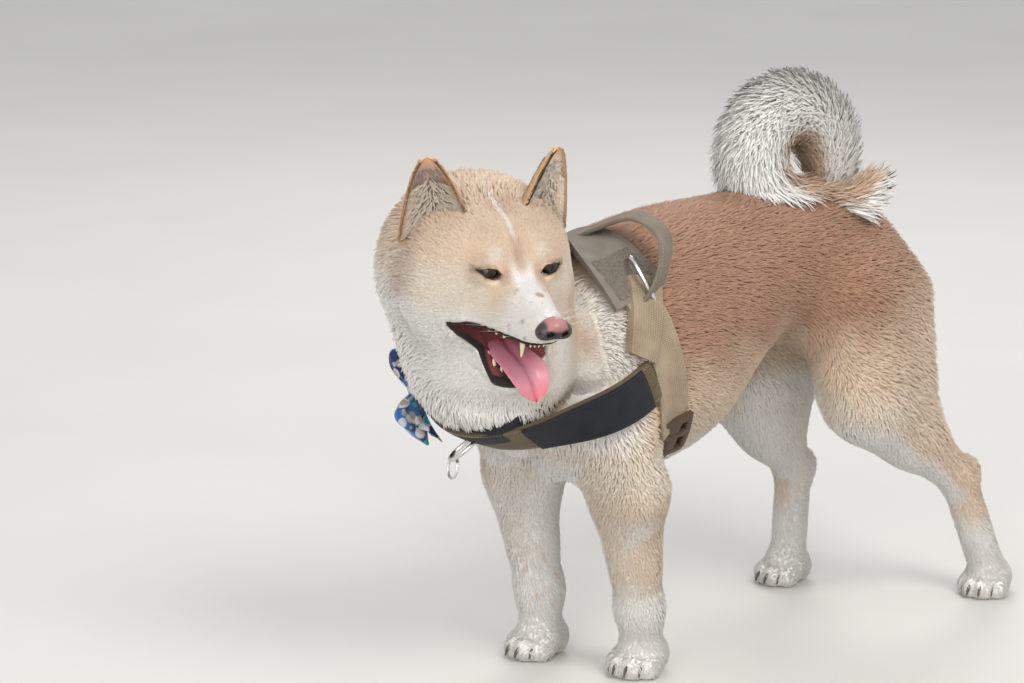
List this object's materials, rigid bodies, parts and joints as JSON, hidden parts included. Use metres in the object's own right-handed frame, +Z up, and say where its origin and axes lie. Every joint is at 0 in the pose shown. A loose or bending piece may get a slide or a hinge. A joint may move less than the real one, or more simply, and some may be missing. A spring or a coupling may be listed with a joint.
{
  "type": "shiba inu dog, still life-size model",
  "caption": "Life-size still model of a cream shiba inu standing in a walking harness, collar and bow, head turned left, mouth open, tail curled.",
  "frame": {"origin": "middle of the model's box seen from above, at the height of the soles", "axes": "+Z up, the body faces -Y, the animal's left side is +X"},
  "size_m": [0.2796, 0.709, 0.5174],
  "materials": {
    "coat_tan": "soft, matt",
    "coat_cream": "soft, matt",
    "coat_white": "soft, long",
    "ear": "soft, matt",
    "eye": "wet gloss",
    "nose": "moist",
    "tongue": "moist",
    "webbing": "ribbed, matt",
    "patch": "fine weave, matt",
    "buckle": "satin",
    "ring": "polished",
    "collar": "matt",
    "bow": "plain weave"
  },
  "bodies": {
    "root": {"patch_left": "patch", "patch_right": "patch", "buckle_left": "buckle", "buckle_right": "buckle", "saddle_ring": "ring", "handle": "webbing", "chest_strap": "webbing", "shoulder_strap_left": "webbing", "shoulder_strap_right": "webbing", "side_strap_left": "webbing", "side_strap_right": "webbing", "saddle": "webbing", "girth_strap": "webbing", "collar_ring": "ring", "bow_knot": "bow", "bow_lobe_upper": "bow", "bow_lobe_lower": "bow", "collar": "collar", "eye_left": "eye", "eye_right": "eye", "nose": "nose", "tongue": "tongue", "lower_jaw": "coat_cream", "head": "coat_cream", "ear_left": "ear", "ear_right": "ear", "foreleg_left": "coat_cream", "foreleg_right": "coat_cream", "hindleg_left": "coat_cream", "hindleg_right": "coat_cream", "neck": "coat_cream", "torso": "coat_tan", "tail": "coat_white"}
  },
  "joints": []
}
